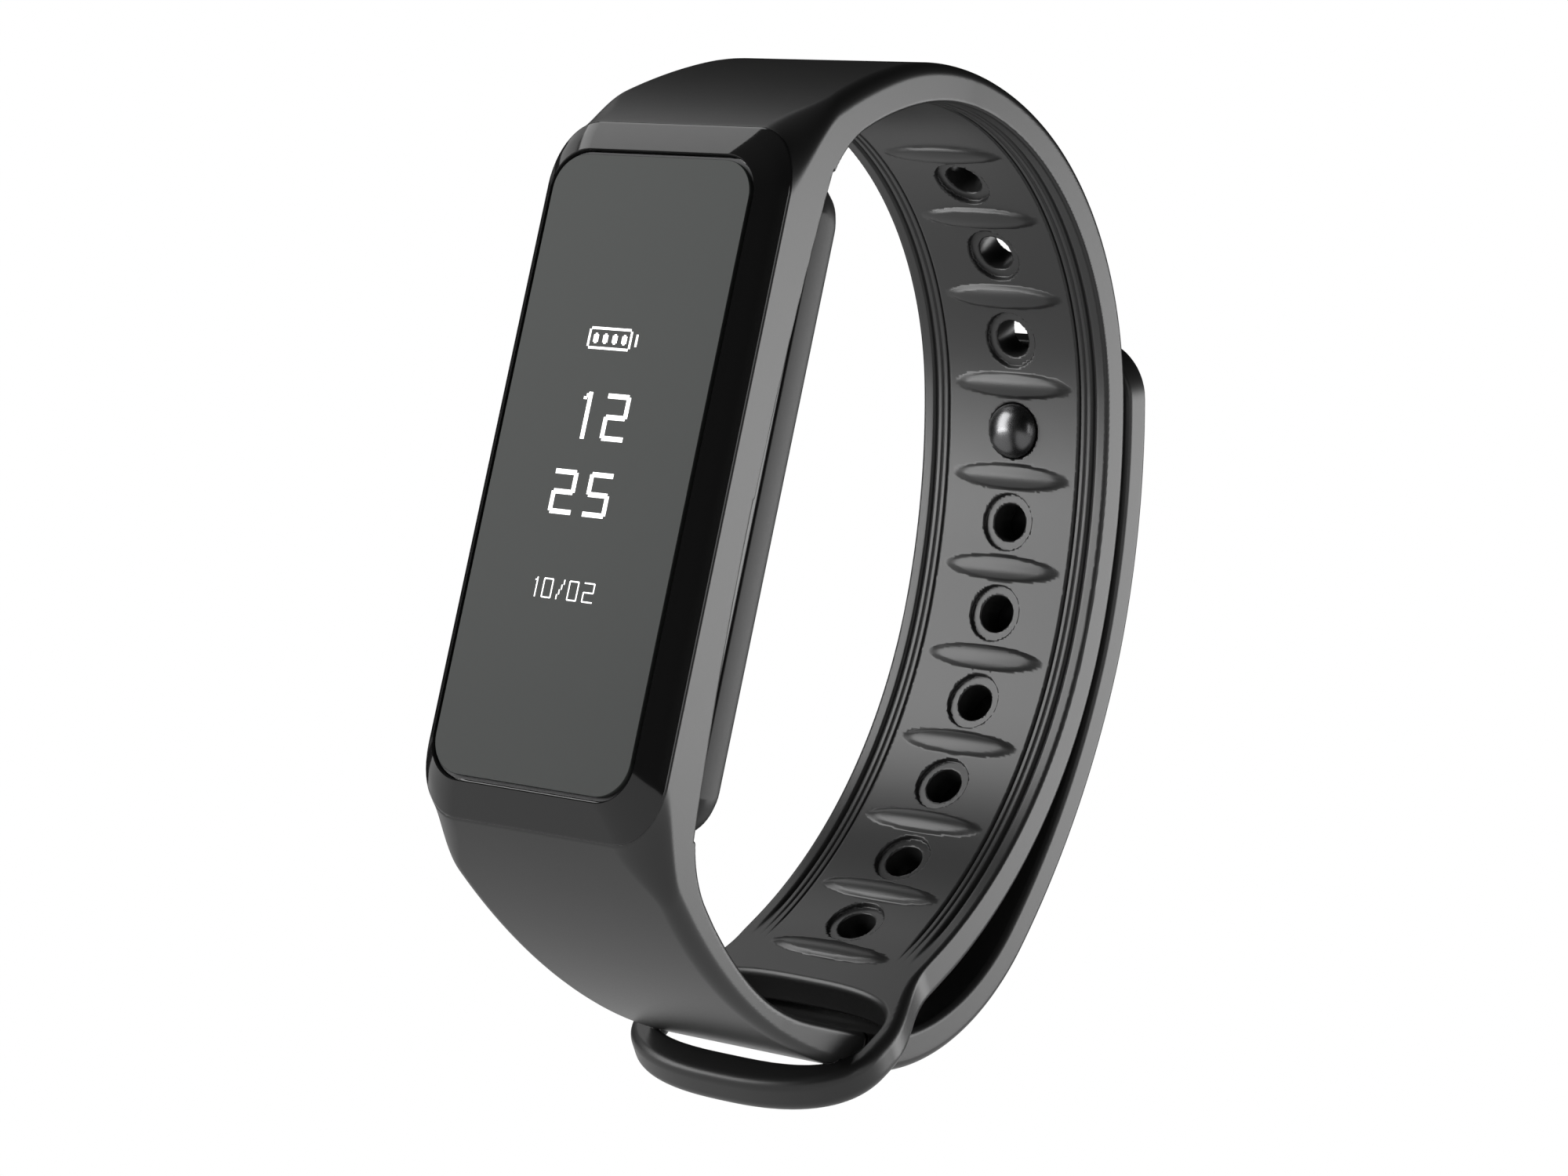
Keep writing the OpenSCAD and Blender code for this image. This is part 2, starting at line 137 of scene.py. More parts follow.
class Path:
    """A strap's wrist side in Y and Z.

    It has a start (y, z, heading), then runs of (radius, turn), or (length, 0) where it is straight.
    """

    def __init__(self, start, runs):
        self.runs = []
        y, z, h = start[0], start[1], math.radians(start[2])
        s = 0.0
        for r, turn in runs:
            turn = math.radians(turn)
            length = r * abs(turn) if turn else r
            self.runs.append((s, length, y, z, h, r, turn))
            y, z, h = (float(v) for v in self.step(self.runs[-1], length))
            s += length
        self.length = s

    @staticmethod
    def step(run, d):
        """The place and heading (y, z, h) at distance d along a run."""
        y, z, h, r, turn = run[2:]
        if not turn:
            return y + d * np.cos(h), z + d * np.sin(h), h + 0 * d
        g = math.copysign(1, turn)
        k = h + g * d / r
        return y + g * r * (np.sin(k) - np.sin(h)), z - g * r * (np.cos(k) - np.cos(h)), k

    def at(self, s):
        """The place and heading (y, z, h) at each distance s along the path."""
        s = np.asarray(s, float)
        out = self.step(self.runs[0], s)
        for run in self.runs[1:]:
            there = self.step(run, s - run[0])
            out = tuple(np.where(s >= run[0], b, a) for a, b in zip(out, there))
        return out

    def coords(self, y, z):
        """How far along (s) and how far to the left (t) each point lies."""
        best = np.full(np.broadcast(y, z).shape, 1e9)
        s_out, t_out = best * 0, best * 0
        for k, (s0, length, y0, z0, h, r, turn) in enumerate(self.runs):
            if turn:
                g = math.copysign(1, turn)
                dy, dz = y - (y0 - g * r * math.sin(h)), z - (z0 + g * r * math.cos(h))
                rad = np.hypot(dy, dz)
                t = g * (r - rad)
                foot = np.arctan2(g * dy, -g * dz) - h - turn / 2
                s = g * r * ((foot + math.pi) % (2 * math.pi) - math.pi + turn / 2)
            else:
                dy, dz = y - y0, z - z0
                s = dy * math.cos(h) + dz * math.sin(h)
                t = -dy * math.sin(h) + dz * math.cos(h)
            over = np.maximum(-s, 0) if k == len(self.runs) - 1 else np.maximum(np.maximum(-s, s - length), 0)
            d = np.hypot(t, over)
            ye, ze, he = self.step(self.runs[k], np.clip(s, 0, length))
            side = -(y - ye) * np.sin(he) + (z - ze) * np.cos(he)
            better = d < best
            best = np.where(better, d, best)
            s_out = np.where(better, s + s0, s_out)
            t_out = np.where(better, np.where(over > 0, np.copysign(d, side), t), t_out)
        return s_out, t_out

    def point(self, s):
        """The point at s, in metres."""
        y, z, _ = (float(v) for v in self.at(s))
        return Vector((0, y, z)) * MM

    def normal(self, s):
        """The direction out of the wrist side at s."""
        h = float(self.at(s)[2])
        return Vector((0, -math.sin(h), math.cos(h)))


HOLED = Path(START, [(ROOT_R, -ROOT_TURN), (ARCH_R, -108), (STUD_ZONE_R, -ZONE_TURN), (UNDER_R, -49), (LOOP_REACH, 0)])
FIRST_RIB = HOLED.runs[1][0] + ARCH_R * math.radians(56)
LOOP_S = HOLED.runs[4][0]
STUD_S = FIRST_RIB + 3.5 * PITCH


def lower_path():
    """The lower strap and tail: they meet the holed strap's outer side and stay one layer off it."""
    y, z, h = (float(v) for v in HOLED.at(HOLED.runs[3][0] + UNDER_R * math.radians(UNDER_TURN)))
    y, z, h = y - LAYER * math.sin(h), z + LAYER * math.cos(h), h + math.pi
    rise = math.radians(RISE)
    y -= RISE_R * (math.sin(h) - math.sin(rise))
    z -= RISE_R * (math.cos(rise) - math.cos(h))
    start = (START[0], -START[1], -START[2])
    roots = [(ROOT_R, ROOT_TURN), (LOWER_R, LOWER_TURN)]
    root = Path(start, roots)
    fy, fz, _ = (float(v) for v in root.at(root.length))
    sweep = (z - fz) / (1 - math.cos(rise))
    flat = y - sweep * math.sin(rise) - fy
    rises = [(flat, 0), (sweep, RISE), (RISE_R, math.degrees(h) - RISE)]
    beside = [(UNDER_R + LAYER, UNDER_TURN), (STUD_ZONE_R + LAYER, ZONE_TURN), (ARCH_R + LAYER, 12)]
    return Path(start, roots + rises + beside)


LOWER = lower_path()
# The lower strap's first part as a mirror image, so both ends of the band share the functions for a root.
UNDERSIDE = Path(START, [(ROOT_R, -ROOT_TURN), (LOWER_R, -LOWER_TURN), (LOWER.runs[3][0] - LOWER.runs[2][0], 0)])
CUT = LOWER.runs[3][0] - 0.2
TAIL_STUD = LOWER.runs[6][0] + (HOLED.runs[3][0] - STUD_S) * (STUD_ZONE_R + LAYER) / STUD_ZONE_R


# ---------------------------------------------------------------- shape fields

def smooth(t):
    """Rises from 0 to 1 as t does, level at both ends."""
    t = np.clip(t, 0, 1)
    return t * t * (3 - 2 * t)


def meet(a, b, r):
    """Where two solids overlap, with the edge between them rounded to radius r."""
    return np.hypot(np.maximum(a + r, 0), np.maximum(b + r, 0)) + np.minimum(np.maximum(a + r, b + r), 0) - r


def ridge(v, width):
    """A bump of height 1 at v = 0."""
    return np.exp(-(v / width) ** 2)


def oval(a, b, half_a, half_b, power):
    """Distance outside a superellipse, true near its edge."""
    a, b = np.maximum(np.abs(a) / half_a, 1e-3), np.maximum(np.abs(b) / half_b, 1e-3)
    rho = (a ** power + b ** power) ** (1 / power)
    grade = np.hypot((a / rho) ** (power - 1) / half_a, (b / rho) ** (power - 1) / half_b)
    return (rho - 1) / np.maximum(grade, 0.02)


def half_width(y):
    """Half the band's width: the pocket's at the seam, narrowing to the strap's own 21 mm behind it."""
    t = np.clip(1 - (y - FACE - SEAM) / 21, 0, 1)
    return STRAP_HALF + (POCKET_HALF - STRAP_HALF) * t ** 1.5


def edge_round(y):
    """Radius of the band's outer edges: wide at the tracker's corners, then narrow."""
    return 0.75 + 0.5 * (1 - smooth((y - FACE - 6) / 20)) + 2.25 * (1 - smooth((y - FACE - SEAM) / 4.5))


def front_arc():
    """The band's front above the tracker: an arc from the seam that runs into the strap's own outer arc.

    They meet 10 degrees past the place where a straight line from the seam would touch the strap's arc. Gives the
    strap's arc (centre and radius), the direction from that centre to where they meet, and the front arc's radius.
    """
    y, z, h = (float(v) for v in HOLED.at(HOLED.runs[1][0]))
    cy, cz, r = y + ARCH_R * math.sin(h), z - ARCH_R * math.cos(h), ARCH_R + THICK
    dy, dz = FACE + SEAM - cy, FRONT_Z + CREST_DROP - cz
    far = math.hypot(dy, dz)
    n = math.atan2(-dz, -dy) + math.asin(r / far) + math.radians(90 - 10)
    along = dy * math.cos(n) + dz * math.sin(n)
    big = (far ** 2 + r ** 2 - 2 * r * along) / (2 * (r - along))
    return cy, cz, r, n, big


FRONT_ARC = front_arc()


def over_arch(y, z, t):
    """Distance outside the strap's outer side, from the seam over the crest, which is CREST_DROP lower than its arc."""
    cy, cz, r, n, big = FRONT_ARC
    v, w = y - cy, z - cz + CREST_DROP * smooth((12 - y) / 18)
    before = v * math.sin(n) - w * math.cos(n) < 0
    front = np.hypot(v - (r - big) * math.cos(n), w - (r - big) * math.sin(n)) - big
    rest = t - THICK + (w + cz - z) * w / np.maximum(np.hypot(v, w), 1)
    crest = np.where(before, front, np.hypot(v, w) - r)
    return np.where((y < FACE + 20) & (z > 0), crest, np.where(z > 0, rest, t - THICK))


def relief(ax, s):
    """How far the wrist side is cut (above 0) or raised (below 0): the platform's edges and the ribs."""
    fade = smooth((s - 13) / 9) * (1 - smooth((s - LOOP_S + 4) / 6))
    cut = sum(deep * ridge(ax - at, width) for at, deep, width in GROOVES)
    cut = fade * (cut - PLATFORM_H * smooth((GROOVES[0][0] - ax) / 0.12))
    k = np.clip(np.round((s - FIRST_RIB) / PITCH), 0, RIBS - 1)
    level = np.clip(1 - (ax / RIB_HALF) ** 2 - ((s - FIRST_RIB - k * PITCH) / RIB_T) ** 2, 0, 1)
    return cut - RIB_H * (0.35 * smooth(level * 2.2) + 0.65 * level)


def drill(f, x, s, t, y, z):
    """Cuts every hole and its recess, whichever is nearest to each point."""
    k = np.clip(np.round((s - FIRST_RIB) / PITCH - 0.5), 0, RIBS - 2)
    hy, hz, hh = HOLED.at(FIRST_RIB + (k + 0.5) * PITCH)
    along = (y - hy) * np.cos(hh) + (z - hz) * np.sin(hh)
    r = np.hypot(x, along)
    deep = -(y - hy) * np.sin(hh) + (z - hz) * np.cos(hh)
    near = np.abs(along) < 3.2
    cut = meet(f, -np.maximum(r - RECESS_R, deep - RECESS), 0.08)
    cut = meet(cut, HOLE_R - r, 0.1)
    return np.where(near & (t > -2) & (t < 5), cut, f)


def inside_root(y, az, t, carve):
    """Distance outside the wrist side of one end's pocket and strap (az is the height from the tracker's middle)."""
    arch = y - (FACE + POCKET_DEPTH + POCKET_BOW * (az / OPEN_HALF_Z) ** 2)
    h = math.radians(START[2])
    before = ((y - START[0]) * math.cos(h) + (az - START[1]) * math.sin(h) < 0) & (y < FACE + 9)
    return np.where(before, arch, -t) + np.where(before, 0, carve - ROOT_INSET * ridge(y - FACE - 13, 7))


def finish_root(f, ax, y, az):
    """Ends the band at the seam with the tracker and opens it for the tracker's body."""
    f = meet(f, FACE + SEAM - y, 0.08)
    cavity = meet(ax - OPEN_HALF_X, az - OPEN_HALF_Z, OPEN_R)
    return np.where(y < FACE + 12, meet(f, -cavity, 0.2), f)


def upper_field(x, y, z):
    """Distance outside the pocket's upper half and the holed strap, to the end of its loop."""
    ax = np.abs(x)
    s, t = HOLED.coords(y, z)
    d_out, d_in = over_arch(y, z, t), inside_root(y, z, t, relief(ax, s))
    u = s - LOOP_S
    w = half_width(y) + np.where(z < 0, (LOOP_HALF - STRAP_HALF) * smooth((u - 1.8) / 8.5), 0)
    end = oval(x, u - LOOP_WIDEST, LOOP_HALF, LOOP_REACH - LOOP_WIDEST, 2.5)
    side = np.where((z < 0) & (u > LOOP_WIDEST), end, ax - w)
    loop = smooth((u - 1) / 5) * (z < 0)
    f = np.maximum(meet(side, d_out, edge_round(y) + 0.25 * loop), meet(side, d_in, 0.28 + 0.5 * loop))
    slot = oval(x, u - (SLOT[0] + SLOT[1]) / 2, SLOT_HALF, (SLOT[1] - SLOT[0]) / 2, 3.0)
    f = np.where((z < 0) & (u > 2), meet(f, -slot, 0.45), f)
    f = drill(f, x, s, t, y, z)
    return finish_root(f, ax, y, z)


def lower_field(x, y, z):
    """Distance outside the pocket's lower half and the lower strap, to where the tail begins."""
    ax = np.abs(x)
    s, t = UNDERSIDE.coords(y, -z)
    cy, cz, r = LOWER_ARC
    d_out = np.where(y < cy, np.hypot(y - cy, cz - z) - r, t - THICK)
    d_in = inside_root(y, -z, t, 0.0)
    side = ax - half_width(y)
    f = np.maximum(meet(side, d_out, edge_round(y)), meet(side, d_in, 0.5))
    return np.maximum(finish_root(f, ax, y, -z), s - CUT)


def band_field(x, y, z):
    """Distance outside the whole band. Both ends run below the middle, except near the pocket."""
    out = np.ones(np.broadcast(x, y).shape)
    below, pocket = z <= 0, y < -15
    regions = ((z > 0, (upper_field,)), (below & pocket, (lower_field,)), (below & ~pocket, (upper_field, lower_field)))
    for here, fields in regions:
        if here.any():
            spot = (x if x.shape[-1] == 1 else x[here], y[here], z[here])
            out[..., here] = np.minimum.reduce([f(*spot) for f in fields])
    return out


def band_near(y, z):
    """Whether the band may pass through each point of a grid in Y and Z."""
    s, t = HOLED.coords(y, z)
    u, v = UNDERSIDE.coords(y, -z)
    pocket = (y < FACE + 14) & (np.abs(z) < 31)
    holed = (np.abs(t - 1.4) < 2.7) & (s > -3) & (s < LOOP_S + LOOP_REACH + 1)
    lower = (np.abs(v - 1.4) < 2.7) & (u > -3) & (u < CUT + 1)
    return pocket | holed | lower


def tail_field(x, s, t):
    """The tail in its own path's coordinates: s along it and t outwards from its wrist side."""
    ax = np.abs(x)
    side = meet(ax - STRAP_HALF, s - TAIL_STUD - TIP_REACH, TIP_CORNER)
    return np.maximum(meet(side, t - THICK, 0.75), meet(side, -t, 0.5))


# ---------------------------------------------------------------- meshing

def net(field, near, xs, ys, zs, steps=3, reach=0.1):
    """Meshes field = 0: one vertex to each grid cell it crosses, moved onto the surface, with the field's normals."""
    grid = (xs, ys, zs)
    gy, gz = (g.ravel() for g in np.meshgrid(ys, zs, indexing="ij"))
    here = near(gy, gz)
    f = np.ones((len(xs), len(gy)))
    f[:, here] = field(xs[:, None], gy[here], gz[here])
    f = f.reshape(len(xs), len(ys), len(zs))
    cells = tuple(n - 1 for n in f.shape)
    rings, points = [], []
    for axis in range(3):
        low = [slice(None)] * 3
        high = [slice(None)] * 3
        low[axis], high[axis] = slice(None, -1), slice(1, None)
        f0, f1 = f[tuple(low)], f[tuple(high)]
        u, v = ((1, 2), (2, 0), (0, 1))[axis]
        at = np.argwhere((f0 < 0) != (f1 < 0))
        at = at[(at[:, u] > 0) & (at[:, v] > 0) & (at[:, u] < f.shape[u] - 1) & (at[:, v] < f.shape[v] - 1)]
        a, b = f0[tuple(at.T)], f1[tuple(at.T)]
        p = np.stack([grid[k][at[:, k]] for k in range(3)], 1)
        p[:, axis] += a / (a - b) * (grid[axis][at[:, axis] + 1] - grid[axis][at[:, axis]])
        ring = []
        for du, dv in ((0, 0), (-1, 0), (-1, -1), (0, -1)):
            c = at.copy()
            c[:, u] += du
            c[:, v] += dv
            ring.append(np.ravel_multi_index(c.T, cells))
        ring = np.stack(ring, 1)
        rings.append(np.where((a < 0)[:, None], ring, ring[:, ::-1]))
        points.append(np.repeat(p, 4, 0))
    rings, points = np.concatenate(rings), np.concatenate(points)
    _, index = np.unique(rings.ravel(), return_inverse=True)
    count = np.bincount(index)
    v = np.stack([np.bincount(index, points[:, k]) / count for k in range(3)], 1)
    for _ in range(steps):
        g = slope(field, v)
        f = field(*v.T)
        move = (f / np.maximum((g ** 2).sum(1), 0.25))[:, None] * g
        size = np.linalg.norm(move, axis=1, keepdims=True)
        v = v - move * np.minimum(1, reach / np.maximum(size, 1e-9))
    return v, index.reshape(-1, 4), slope(field, v)


def slope(field, v, h=0.012):
    """The field's gradient at each point."""
    return np.stack([(field(*(v + d).T) - field(*(v - d).T)) / (2 * h) for d in np.eye(3) * h], 1)


def add_mesh(name, verts, faces, normals=None, unit=MM, material=None):
    """A mesh piece from arrays, shaded smooth, with the given vertex normals if there are any."""
    mesh = bpy.data.meshes.new(name)
    faces = faces if isinstance(faces, list) else faces.tolist()
    mesh.from_pydata((verts * unit).tolist(), [], faces)
    mesh.polygons.foreach_set("use_smooth", [True] * len(mesh.polygons))
    mesh.update()
    if normals is not None:
        n = normals / np.maximum(np.linalg.norm(normals, axis=1, keepdims=True), 1e-9)
        mesh.normals_split_custom_set_from_vertices(n.tolist())
    obj = bpy.data.objects.new(name, mesh)
    bpy.context.collection.objects.link(obj)
    if material is not None:
        mesh.materials.append(material)
    return obj


def face_outwards(mesh):
    """Turns every face to look out of its solid."""
    bm = bmesh.new()
    bm.from_mesh(mesh)
    bmesh.ops.recalc_face_normals(bm, faces=bm.faces)
    bm.to_mesh(mesh)
    bm.free()
    mesh.shade_smooth()


def mirrored(half):
    """The same grid lines on both sides of 0."""
    return np.concatenate([-half[:0:-1], half])


def lines(*spans):
    """Grid lines from (end, step) spans, starting at the first span's end."""
    out = [spans[0][0]]
    for end, step in spans[1:]:
        n = max(1, round((end - out[-1]) / step))
        out += [out[-1] + (end - out[-1]) * k / n for k in range(1, n + 1)]
    return np.array(out)


# ---------------------------------------------------------------- materials

def principled(name, color, rough, spec=0.5, metal=0.0, coat=0.0):
    """A material with its node tree and its Principled shader."""
    m = bpy.data.materials.new(name)
    m.use_nodes = True
    b = m.node_tree.nodes["Principled BSDF"]
    b.inputs["Base Color"].default_value = (*color, 1)
    b.inputs["Roughness"].default_value = rough
    b.inputs["Specular IOR Level"].default_value = spec
    b.inputs["Metallic"].default_value = metal
    b.inputs["Coat Weight"].default_value = coat
    b.inputs["Coat Roughness"].default_value = 0.05
    return m, m.node_tree, b


def link_color(nt, b, color, vary, scale):
    """Base colour with a slow noise of the given share. Gives the texture coordinates."""
    co = nt.nodes.new("ShaderNodeTexCoord")
    noise = nt.nodes.new("ShaderNodeTexNoise")
    noise.inputs["Scale"].default_value = scale
    noise.inputs["Detail"].default_value = 4.0
    ramp = nt.nodes.new("ShaderNodeValToRGB")
    ramp.color_ramp.elements[0].position = 0.3
    ramp.color_ramp.elements[1].position = 0.7
    ramp.color_ramp.elements[0].color = (*[c * (1 - vary) for c in color], 1)
    ramp.color_ramp.elements[1].color = (*[min(1, c * (1 + vary)) for c in color], 1)
    nt.links.new(co.outputs["Object"], noise.inputs["Vector"])
    nt.links.new(noise.outputs["Fac"], ramp.inputs["Fac"])
    nt.links.new(ramp.outputs["Color"], b.inputs["Base Color"])
    return co


def grain(nt, b, co, scale, strength, distance, rough):
    """Fine bump from noise, and roughness between two values that follows it."""
    n = nt.nodes.new("ShaderNodeTexNoise")
    n.inputs["Scale"].default_value = scale
    n.inputs["Detail"].default_value = 3.0
    bump = nt.nodes.new("ShaderNodeBump")
    bump.inputs["Strength"].default_value = strength
    bump.inputs["Distance"].default_value = distance
    nt.links.new(co.outputs["Object"], n.inputs["Vector"])
    nt.links.new(n.outputs["Fac"], bump.inputs["Height"])
    nt.links.new(bump.outputs["Normal"], b.inputs["Normal"])
    m = nt.nodes.new("ShaderNodeMapRange")
    m.inputs["To Min"].default_value = rough[0]
    m.inputs["To Max"].default_value = rough[1]
    nt.links.new(n.outputs["Fac"], m.inputs["Value"])
    nt.links.new(m.outputs["Result"], b.inputs["Roughness"])


def silicone():
    color = (0.022, 0.022, 0.022)
    m, nt, b = principled("silicone", color, 0.35)
    co = link_color(nt, b, color, 0.06, 90)
    grain(nt, b, co, 9000, 0.1, 0.00002, (0.32, 0.38))
    return m


def plain(name, color, rough, spec=0.5, metal=0.0, coat=0.0, vary=0.05, scale=300, bump=0.1, tone=0.04):
    """A moulded or metal surface: its colour varies by a share, and its roughness by tone each way."""
    m, nt, b = principled(name, color, rough, spec, metal, coat)
    co = link_color(nt, b, color, vary, scale)
    grain(nt, b, co, scale * 20, bump, 0.00001, (max(0.02, rough - tone), min(1, rough + tone)))
    return m


def glow(name, color, strength):
    """A surface that shines by itself."""
    m, nt, b = principled(name, color, 0.4)
    b.inputs["Emission Color"].default_value = (*color, 1)
    b.inputs["Emission Strength"].default_value = strength
    link_color(nt, b, color, 0.02, 500)
    return m


SILICONE = silicone()
HOUSING = plain("housing_gloss", (0.012, 0.012, 0.012), 0.1, 0.5, vary=0.02, scale=40, bump=0.02, tone=0.01)
LENS = plain("lens_glass", (0.038, 0.041, 0.039), 0.3, 0.1, vary=0.01, scale=30, bump=0.01, tone=0.01)
METAL = plain("stud_metal", (0.14, 0.14, 0.143), 0.28, 0.6, metal=1.0, vary=0.06, scale=500, bump=0.06)
BACK = plain("back_plastic", (0.03, 0.03, 0.03), 0.42, 0.3, vary=0.05, scale=400, bump=0.15)
LIT = glow("lit_pixels", (1.0, 1.0, 1.0), 0.95)
SLOTS = {
    "dark_plastic": plain("dark_plastic", (0.03, 0.03, 0.03), 0.5, bump=0.2),
    "lens_glass": LENS,
    "housing_gloss": HOUSING,
    "silicone": SILICONE,
    "stud_metal": METAL,
    "back_plastic": BACK,
    "display_oled": plain("display_oled", (0.02, 0.02, 0.025), 0.12, 0.6, coat=0.5),
    "board_green": plain("board_green", (0.02, 0.12, 0.045), 0.35, 0.5, coat=0.3, vary=0.25, scale=900),
    "chip_black": plain("chip_black", (0.02, 0.02, 0.022), 0.55, bump=0.3),
    "flex_amber": plain("flex_amber", (0.42, 0.16, 0.04), 0.3, coat=0.3, vary=0.15),
    "ceramic": plain("ceramic", (0.7, 0.66, 0.58), 0.5),
    "foil": plain("foil", (0.62, 0.63, 0.65), 0.3, metal=1.0, vary=0.1),
    "foam": plain("foam", (0.68, 0.68, 0.64), 0.85, bump=0.6),
    "steel": plain("steel", (0.5, 0.5, 0.52), 0.25, metal=1.0, vary=0.08),
    "tungsten": plain("tungsten", (0.2, 0.2, 0.21), 0.4, metal=1.0, vary=0.12),
    "copper": plain("copper", (0.6, 0.25, 0.12), 0.3, metal=1.0, vary=0.15),
    "gold": plain("gold", (0.78, 0.55, 0.2), 0.22, metal=1.0, vary=0.08),
    "window": plain("window", (0.02, 0.02, 0.024), 0.06, 0.7, coat=1.0, vary=0.02, bump=0.02, tone=0.01),
    "led_resin": plain("led_resin", (0.3, 0.65, 0.35), 0.2, coat=0.5),
}
for part in frame["record"]["subparts"]:
    node = frame["nodes"][part["node"]]
    node = bpy.data.objects[node] if isinstance(node, str) else node
    for slot in node.material_slots:
        slot.material = SLOTS[part["material_slot"]]


# ---------------------------------------------------------------- the band

def build_band():
    """One skin for the whole band. Its grid is finest across the holes, the grooves and the strap's edge."""
    xs = mirrored(lines(
        (0, 0), (2.6, 0.18), (5.0, 0.4), (5.95, 0.3), (6.3, 0.05), (6.5, 0.1), (6.8, 0.05), (7.1, 0.1),
        (7.6, 0.06), (8.5, 0.17), (9.0, 0.1), (11.3, 0.28)))
    ys = np.arange(FACE + 1.2, 27.2, 0.17)
    zs = np.arange(-42.2, 36.6, 0.17)
    v, q, n = net(band_field, band_near, xs, ys, zs)
    band = add_mesh("band_skin", v, q, n, material=SILICONE)
    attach(band, "root")
    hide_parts("band_pocket", "strap_upper", "strap_holed", "stud_hole_lip", "strap_loop", "strap_lower")


def build_tail():
    """Meshes the tail straight, lays it on its path, and divides it halfway between the hinges."""
    xs = mirrored(lines((0, 0), (7.6, 0.6), (8.9, 0.13)))
    ss = np.arange(CUT - 0.25, TAIL_STUD + TIP_REACH + 0.8, 0.5)
    ts = lines((-0.3, 0), (0.6, 0.15), (2.0, 0.35), (3.1, 0.14))
    v, q, n = net(tail_field, lambda s, t: np.ones(s.shape, bool), xs, ss, ts)
    layer = np.searchsorted(ss, v[q][:, :, 1].mean(1)) - 1
    first = v[:, 1] < ss[1]
    v[first, 1] = CUT
    n[first, 1] = 0
    y, z, h = LOWER.at(v[:, 1])
    t = -v[:, 2]
    world = np.stack([v[:, 0], y - t * np.sin(h), z + t * np.cos(h)], 1)
    along, across = n[:, 1], n[:, 2]
    normal = np.stack([n[:, 0], along * np.cos(h) + across * np.sin(h), along * np.sin(h) - across * np.cos(h)], 1)
    nodes = ("tail_lower", "tail_middle", "tail_tip")
    cuts = [-1] + [int(np.searchsorted(ss, TAIL_STUD - HINGE_GAP * (2.5 - k))) for k in range(2)] + [len(ss)]
    for k in range(3):
        mine = q[(layer >= cuts[k]) & (layer < cuts[k + 1])]
        used, index = np.unique(mine.ravel(), return_inverse=True)
        faces = index.reshape(-1, 4)[:, ::-1]
        piece = add_mesh("tail_skin_%d" % (k + 1), world[used], faces, normal[used], material=SILICONE)
        pivot = TAIL_STUD - HINGE_GAP * (3 - k)
        tuple(LOWER.point(pivot - 6))
        tuple(LOWER.point(pivot + 6))
        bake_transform(piece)
        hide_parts(nodes[k])


# ---------------------------------------------------------------- turned and lofted pieces

def turned(name, profile, origin, axis, material, sides=64):
    """A solid turned from (radius, height) points about an axis."""
    axis = Vector(axis).normalized()
    side = axis.cross(Vector((1, 0, 0))).normalized()
    up = axis.cross(side)
    verts, faces = [], []
    rows = []
    for r, h in profile:
        row = []
        for k in range(sides if r > 1e-6 else 1):
            a = 2 * math.pi * k / sides
            row.append(len(verts))
            verts.append(Vector(origin) + (axis * h + (side * math.cos(a) + up * math.sin(a)) * r) * MM)
        rows.append(row)
    for a, b in zip(rows, rows[1:]):
        for k in range(sides):
            j = (k + 1) % sides
            face = list(dict.fromkeys([a[k % len(a)], a[j % len(a)], b[j % len(b)], b[k % len(b)]]))
            if len(face) > 2:
                faces.append(face)
    obj = add_mesh(name, np.array([list(v) for v in verts]), faces, unit=1.0, material=material)
    face_outwards(obj.data)
    return obj


def arc(cx, cy, r, a0, a1, n):
    """Points on an arc from angle a0 to a1, in degrees."""
    angles = [math.radians(a0 + (a1 - a0) * k / n) for k in range(n + 1)]
    return [(cx + r * math.cos(a), cy + r * math.sin(a)) for a in angles]


def outline(hx, hz, rx, rz, n=14):
    """A rounded rectangle's points, X and Z, the same number whatever its size."""
    points = []
    for sx, sz, a0 in ((1, 1, 0), (-1, 1, 90), (-1, -1, 180), (1, -1, 270)):
        for k in range(n + 1):
            a = math.radians(a0 + 90 * k / n)
            points.append((sx * (hx - rx) + rx * math.cos(a), sz * (hz - rz) + rz * math.sin(a)))
    return points


def loft(name, loops, material, close=False, cap=False):
    """Skin through loops (hx, hz, rx, rz, depth): half sizes, corner radii and the depth behind the display's face."""
    verts, faces = [], []
    rings = [outline(*loop[:4]) for loop in loops]
    n = len(rings[0])
    for ring, loop in zip(rings, loops):
        verts += [(x, FACE + loop[4], z) for x, z in ring]
    count = len(loops)
    for i in range(count if close else count - 1):
        a, b = i * n, (i + 1) % count * n
        faces += [[a + k, a + (k + 1) % n, b + (k + 1) % n, b + k] for k in range(n)]
    if cap:
        faces.append([(count - 1) * n + k for k in range(n)])
        faces.append(list(range(n))[::-1])
    obj = add_mesh(name, np.array(verts), faces, material=material)
    face_outwards(obj.data)
    obj.data.set_sharp_from_angle(angle=math.radians(60))
    weigh = obj.modifiers.new("weighted", "WEIGHTED_NORMAL")
    weigh.keep_sharp = True
    weigh.weight = 80
    return obj


def bevel_loops():
    """The housing's bevel in 20 steps back from the lens: its sides flare, and then less from a depth of 1.02 on."""
    bevel = []
    for k in range(21):
        d = 0.05 + 1.7 * k / 20
        hx = 8.9 + 1.097 * (d - 0.06) - 0.3 * (d - 1.02 + 0.12 * math.log1p(math.exp((1.02 - d) / 0.12)))
        hz = 22.3 + 1.4 * (d - 0.05)
        bevel.append((hx, hz, 2.88 + 0.62 * k / 20, 2.9 + 1.5 * k / 20, d))
    return bevel


